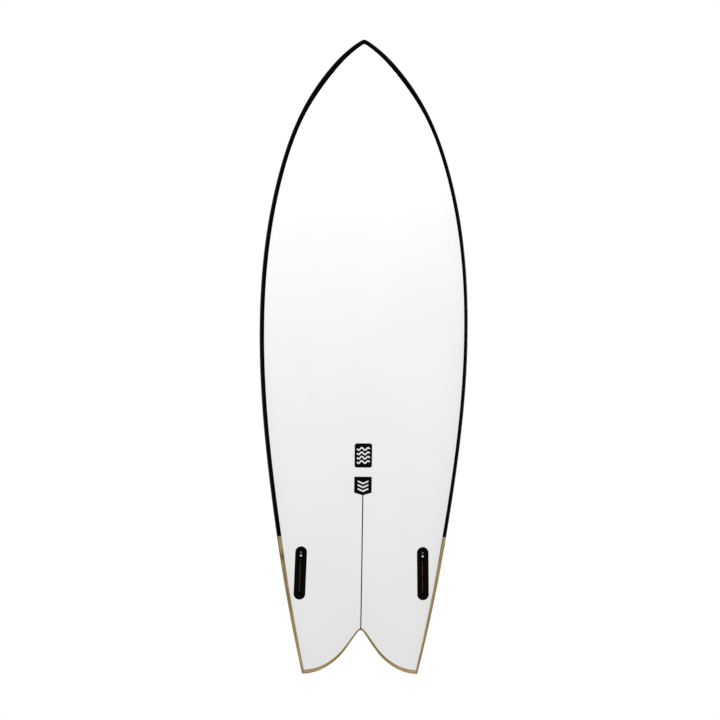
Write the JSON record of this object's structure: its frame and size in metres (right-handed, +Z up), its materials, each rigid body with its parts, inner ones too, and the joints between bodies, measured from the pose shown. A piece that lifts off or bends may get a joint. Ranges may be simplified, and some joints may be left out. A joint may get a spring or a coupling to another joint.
{
  "type": "surfboard",
  "caption": "Short twin-fin surfboard with a pointed nose, swallow tail, black rail band and bare timber tail rails.",
  "frame": {"origin": "under the middle of the board's box, level with the lowest point of the bottom", "axes": "+Y from the tail to the nose, +Z up out of the deck, +X to the rider's right; the board lies deck up"},
  "size_m": [0.549, 1.6758, 0.1227],
  "materials": {
    "core_foam": "fine bead foam",
    "skin_foam": "high-density sandwich skin",
    "white_laminate": "gloss epoxy over white",
    "black_laminate": "gloss black",
    "rail_timber": "clear-coated light timber",
    "tail_timber": "clear-coated light timber",
    "stringer": "dark strip under clear coat",
    "fin_box": "black moulded nylon",
    "insert_foam": "high-density foam",
    "stainless": "turned stainless steel",
    "leash_plastic": "black moulded plastic",
    "vent_plastic": "light grey moulded plastic",
    "membrane": "breathable film",
    "seal": "soft rubber",
    "upper_decal": "printed film under clear coat",
    "lower_decal": "printed film under clear coat"
  },
  "bodies": {
    "board": {"foam_core": "core_foam", "deck_skin": "skin_foam", "bottom_laminate": "white_laminate", "deck_laminate": "white_laminate", "rail_band": "black_laminate", "rail_outer_left": "rail_timber", "rail_outer_right": "rail_timber", "rail_inner_left": "rail_timber", "rail_inner_right": "rail_timber", "nose_block": "rail_timber", "tail_edge_left": "tail_timber", "tail_edge_right": "tail_timber", "tail_stringer": "stringer", "fin_box_left": "fin_box", "fin_box_right": "fin_box", "fin_box_foam_left": "insert_foam", "fin_box_foam_right": "insert_foam", "leash_cup": "leash_plastic", "leash_pin": "stainless", "leash_block": "insert_foam", "vent_body": "vent_plastic", "vent_insert": "vent_plastic", "vent_membrane": "membrane", "vent_seal": "seal", "upper_decal": "upper_decal", "lower_decal": "lower_decal"},
    "screw_left": {"fin_screw_left": "stainless"},
    "screw_right": {"fin_screw_right": "stainless"}
  },
  "joints": [
    {"name": "fin_screw_left_travel", "type": "slide", "parent": "board", "child": "screw_left", "axis": [0.0113, 0.4315, -0.902], "range_m": [0, 0.006]},
    {"name": "fin_screw_right_travel", "type": "slide", "parent": "board", "child": "screw_right", "axis": [-0.0113, 0.4315, -0.902], "range_m": [0, 0.006]}
  ]
}
